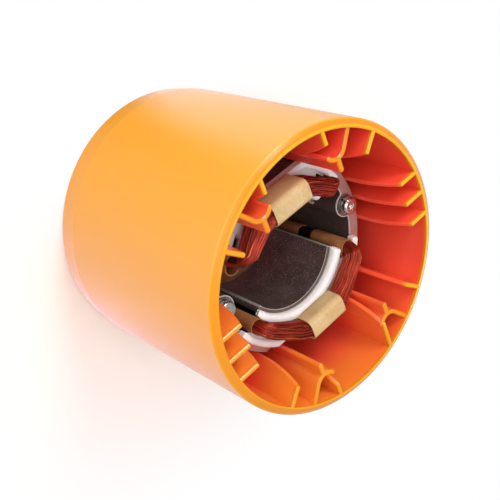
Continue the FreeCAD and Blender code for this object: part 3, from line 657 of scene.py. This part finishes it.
def wind_coil(pole, seed):
    """Bundle of single wires round a dark core of painted shade, in place of a solid coil."""
    node_name = "field_coil_" + pole
    loop = coil_loop(node_name, "crown_sleeve_front_" + pole, "slot_tube_front_%s_upper" % pole)
    random = np.random.default_rng(seed)
    count = len(loop)
    along = np.linspace(0, 2 * math.pi, count, endpoint=False)
    points, faces = [], []
    for wire in range(WIRES_AROUND):
        home = 2 * math.pi * wire / WIRES_AROUND
        drift = wander(random, along, WIRE_DRIFT, DRIFT_WAVES)
        dip = wander(random, along, WIRE_DIP, DIP_WAVES)

        def wire_ring(index, half_out, half_up):
            a, b = superellipse(home + drift[index])
            inset = WIRE_RADIUS + WIRE_SETBACK + abs(dip[index])
            at = ((half_out - inset) * a, (half_up - inset) * b)
            turns = [2 * math.pi * side / WIRE_SIDES for side in range(WIRE_SIDES)]
            return [(at[0] + WIRE_RADIUS * math.cos(t), at[1] + WIRE_RADIUS * math.sin(t)) for t in turns]

        faces += tube_faces(count, WIRE_SIDES, len(points))
        points += swept(loop, wire_ring)

    def core_ring(index, half_out, half_up):
        ring = [superellipse(2 * math.pi * side / CORE_SIDES) for side in range(CORE_SIDES)]
        return [((half_out - CORE_INSET) * a, (half_up - CORE_INSET) * b) for a, b in ring]

    wires = add_mesh("wound_" + node_name, points, faces, MATERIALS["field_coil"])
    core_faces = tube_faces(count, CORE_SIDES)
    core = add_mesh("core_" + node_name, swept(loop, core_ring), core_faces, MATERIALS["coil_shade"])
    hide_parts(node_name)


def add_white_band(name, start, stop, profile, foot, side, smooth):
    """White band swept round the motor axis; a profile point is radius and height above the foot."""
    points = []
    middle = sum(r for r, z in profile) / len(profile)
    steps = math.ceil((stop - start) / WHITE_BAND_STEP)
    for degrees in np.linspace(start, stop, steps + 1):
        angle = math.radians(degrees)
        inward = min((degrees - start) / WHITE_BAND_END_ARC, (stop - degrees) / WHITE_BAND_END_ARC, 1)
        swell = math.sqrt(1 - (1 - inward) ** 2)
        width = blend(WHITE_BAND_END_WIDTH, 1, swell)
        rise = blend(WHITE_BAND_END_RISE, 1, swell)
        for r, z in profile:
            r = middle + (r - middle) * width
            points.append((side * r * math.cos(angle), r * math.sin(angle), foot + z * rise))
    sides = len(profile)
    faces = tube_faces(steps + 1, sides)[:steps * sides]
    faces += [tuple(range(sides)), tuple(range(len(points) - sides, len(points)))]
    band = add_mesh(name, points, faces, MATERIALS["end_insulator"], smooth)


def lip_profile():
    """Section of the lip: a round shoulder on the bore side and a small bevel on the outer one."""
    points = [(LIP_INNER_RADIUS, LIP_FOOT)]
    for share in np.linspace(0, 1, LIP_ROUND_STEPS + 1):
        across, up = superellipse(math.pi / 2 * share)
        radius = blend(LIP_ROUND_RADIUS, LIP_INNER_RADIUS, across)
        points.append((radius, blend(LIP_ROUND_FOOT, LIP_HEIGHT, up)))
    points += [(LIP_OUTER_RADIUS - LIP_BEVEL, LIP_HEIGHT), (LIP_OUTER_RADIUS, LIP_HEIGHT - LIP_BEVEL)]
    return points + [(LIP_OUTER_RADIUS, LIP_FOOT)]


def add_wings(pole, side, place, end, foot):
    """Thin floor of the white moulding between slot tube and yoke, beside one tip of a pole."""
    for part, inner in WING_INNER_RADIUS.items():
        first, last = sorted(angle * end for angle in WING_ARC[part])
        plan = [(inner, 0), (inner, WING_HEIGHT), (WING_OUTER_RADIUS, WING_HEIGHT), (WING_OUTER_RADIUS, 0)]
        add_white_band("floor_wing_%s_%s_%s" % (part, pole, place), first, last, plan, foot, side, False)


def add_liner_edge(pole, side, place, end):
    """Pale edge of the slot liner along one tip of a pole shoe."""
    low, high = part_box("slot_liner_upper")
    turn = STRIP_THICKNESS / BORE_RADIUS
    section = ((-STRIP_PROUD, 0), (STRIP_DEPTH, 0), (STRIP_DEPTH, turn), (-STRIP_PROUD, turn))
    points = []
    for z in (low.z, high.z):
        for depth, angle in section:
            r = BORE_RADIUS + depth
            a = math.radians(POLE_HALF_ARC) + angle
            points.append((side * r * math.cos(a), end * r * math.sin(a), z))
    sides = len(section)
    faces = tube_faces(2, sides)[:sides] + [tuple(reversed(range(sides))), tuple(range(sides, 2 * sides))]
    strip = add_mesh("liner_edge_%s_%s" % (pole, place), points, faces, LINER_EDGE, False)


def dress_pole(pole, side):
    """Lip, floor wings and liner edges at the front end of one pole."""
    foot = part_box("lamination_stack")[1].z
    add_white_band("flange_lip_" + pole, -LIP_HALF_ARC, LIP_HALF_ARC, lip_profile(), foot, side, True)
    for place, end in (("upper", 1), ("lower", -1)):
        add_wings(pole, side, place, end, foot)
        add_liner_edge(pole, side, place, end)


def stage_material():
    """Pale floor that keeps the part's shadow; reflections see its colours change round the part."""
    material, tree, shader = principled("pale_floor", (0.86, 0.86, 0.86), roughness=0.9)
    speck = noise(tree, object_coordinates(tree), scale=30.0)
    # The floor's pink tint is painted bounce light: it warms the part's shadow, and where the floor glows
    # white it does not show
    paint(tree, shader, ramp(tree, speck, (0.0, (0.94, 0.835, 0.81)), (1.0, (0.96, 0.855, 0.83))))
    for_camera = add_node(tree, "ShaderNodeEmission", Strength=1.0)
    for_gloss = add_node(tree, "ShaderNodeEmission", Strength=FLOOR_GLOSS)
    around = tree.nodes.new("ShaderNodeTexGradient")
    around.gradient_type = "RADIAL"
    tree.links.new(object_coordinates(tree), around.inputs["Vector"])
    stops = sorted(((degrees - 180) % 360 / 360, colour) for degrees, colour in FLOOR_GLOSS_COLOURS.items())
    tree.links.new(ramp(tree, around.outputs["Fac"], *stops), for_gloss.inputs["Color"])
    away = step_over(tree, radius_and_height(tree)[0], FLOOR_GLOW_BAND)
    bright_side = step_over(tree, along_direction(tree, FLOOR_BRIGHT_SIDE), FLOOR_BRIGHT_BAND)
    glow = spread(tree, calculate(tree, "MAXIMUM", away, bright_side), FLOOR_GLOW_SHARE, 1.0)
    path = tree.nodes.new("ShaderNodeLightPath")
    share = calculate(tree, "MULTIPLY", path.outputs["Is Camera Ray"], glow)
    lit = mix_shaders(tree, share, shader.outputs["BSDF"], for_camera.outputs["Emission"])
    seen = mix_shaders(tree, path.outputs["Is Glossy Ray"], lit, for_gloss.outputs["Emission"])
    tree.links.new(seen, tree.nodes["Material Output"].inputs["Surface"])
    return material


def add_stage():
    """Large floor under the part."""
    half = FLOOR_HALF_SIZE
    corners = [(-half, -half, 0), (half, -half, 0), (half, half, 0), (-half, half, 0)]
    mesh = bpy.data.meshes.new("floor")
    mesh.from_pydata(corners, [], [tuple(range(len(corners)))])
    mesh.materials.append(stage_material())
    floor = bpy.data.objects.new("floor", mesh)
    floor.location.z = -FLOOR_DROP
    bpy.context.scene.collection.objects.link(floor)


def add_lamp(name, direction, distance, width, power):
    """Soft square lamp that faces its target from a direction."""
    lamp = bpy.data.lights.new(name, "AREA")
    lamp.shape = "SQUARE"
    lamp.size = width
    lamp.energy = power
    holder = bpy.data.objects.new(name, lamp)
    way = Vector(direction).normalized()
    holder.location = LAMP_TARGET + way * distance
    holder.rotation_euler = way.to_track_quat("Z", "Y").to_euler()
    bpy.context.scene.collection.objects.link(holder)


def set_world():
    """Even surroundings: white for the camera, dimmer for light and reflections."""
    world = bpy.data.worlds.new("surroundings")
    bpy.context.scene.world = world
    world.use_nodes = True
    tree = world.node_tree
    background = tree.nodes["Background"]
    background.inputs["Color"].default_value = (1, 1, 1, 1)
    path = tree.nodes.new("ShaderNodeLightPath")
    level = spread(tree, path.outputs["Is Glossy Ray"], WORLD_LEVEL, WORLD_GLOSS)
    strength = calculate(tree, "MULTIPLY_ADD", path.outputs["Is Camera Ray"], 1.0 - WORLD_LEVEL, level)
    tree.links.new(strength, background.inputs["Strength"])


def add_camera():
    """Camera at the photograph's place, turned as it was held."""
    data = bpy.data.cameras.new("camera")
    data.sensor_width = CAMERA_SENSOR
    data.lens = CAMERA_LENS
    holder = bpy.data.objects.new("camera", data)
    turn = Matrix((CAMERA_RIGHT, CAMERA_UP, CAMERA_BACK)).transposed()
    holder.matrix_world = Matrix.Translation(CAMERA_PLACE) @ turn.to_4x4()
    bpy.context.scene.collection.objects.link(holder)
    bpy.context.scene.camera = holder


dress_nodes()
for seed, pole in enumerate(POLES):
    wind_coil(pole, seed)
for pole, side in POLES.items():
    dress_pole(pole, side)
add_stage()
for lamp_name, settings in LAMPS.items():
    add_lamp(lamp_name, **settings)
set_world()
add_camera()
bpy.context.scene.view_settings.view_transform = "Standard"
